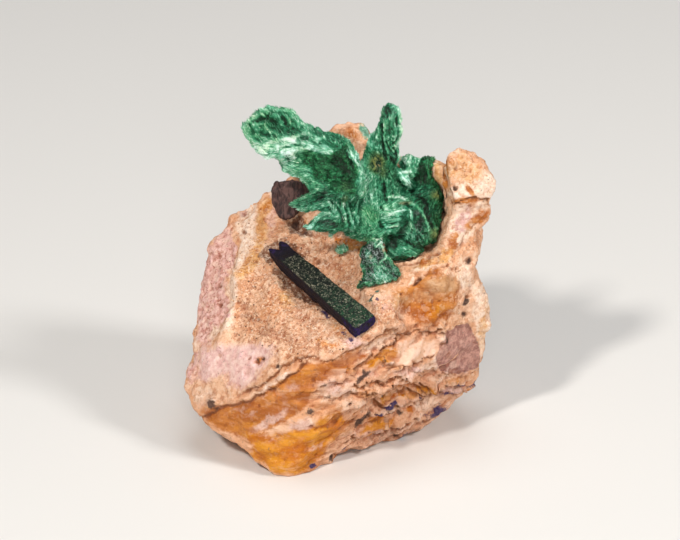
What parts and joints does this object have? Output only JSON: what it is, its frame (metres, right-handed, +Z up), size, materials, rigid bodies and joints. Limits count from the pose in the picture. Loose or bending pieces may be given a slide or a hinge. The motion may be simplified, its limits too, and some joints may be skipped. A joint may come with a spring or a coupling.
{
  "type": "malachite pseudomorph",
  "caption": "Spray of fibrous green malachite crystals and a dark bladed bar on a pale brown, ledged piece of rock.",
  "frame": {"origin": "on the flat broken face that the rock rests on, behind its front foot", "axes": "+Z up, -Y towards the side that is looked at, with the crystals in front of the back wall, +X to that side's right"},
  "size_m": [0.0507, 0.0398, 0.0564],
  "materials": {
    "rock": "rough, sandy, with dull ochre and rose stains",
    "malachite": "silky, fibrous",
    "coated_azurite": "dark, glittering with fine crystals",
    "brown_ore": "dull, platy"
  },
  "bodies": {
    "root": {"matrix_rock": "rock", "malachite_spray": "malachite", "malachite_tuft": "malachite", "azurite_bar": "coated_azurite", "brown_blade": "brown_ore"}
  },
  "joints": []
}
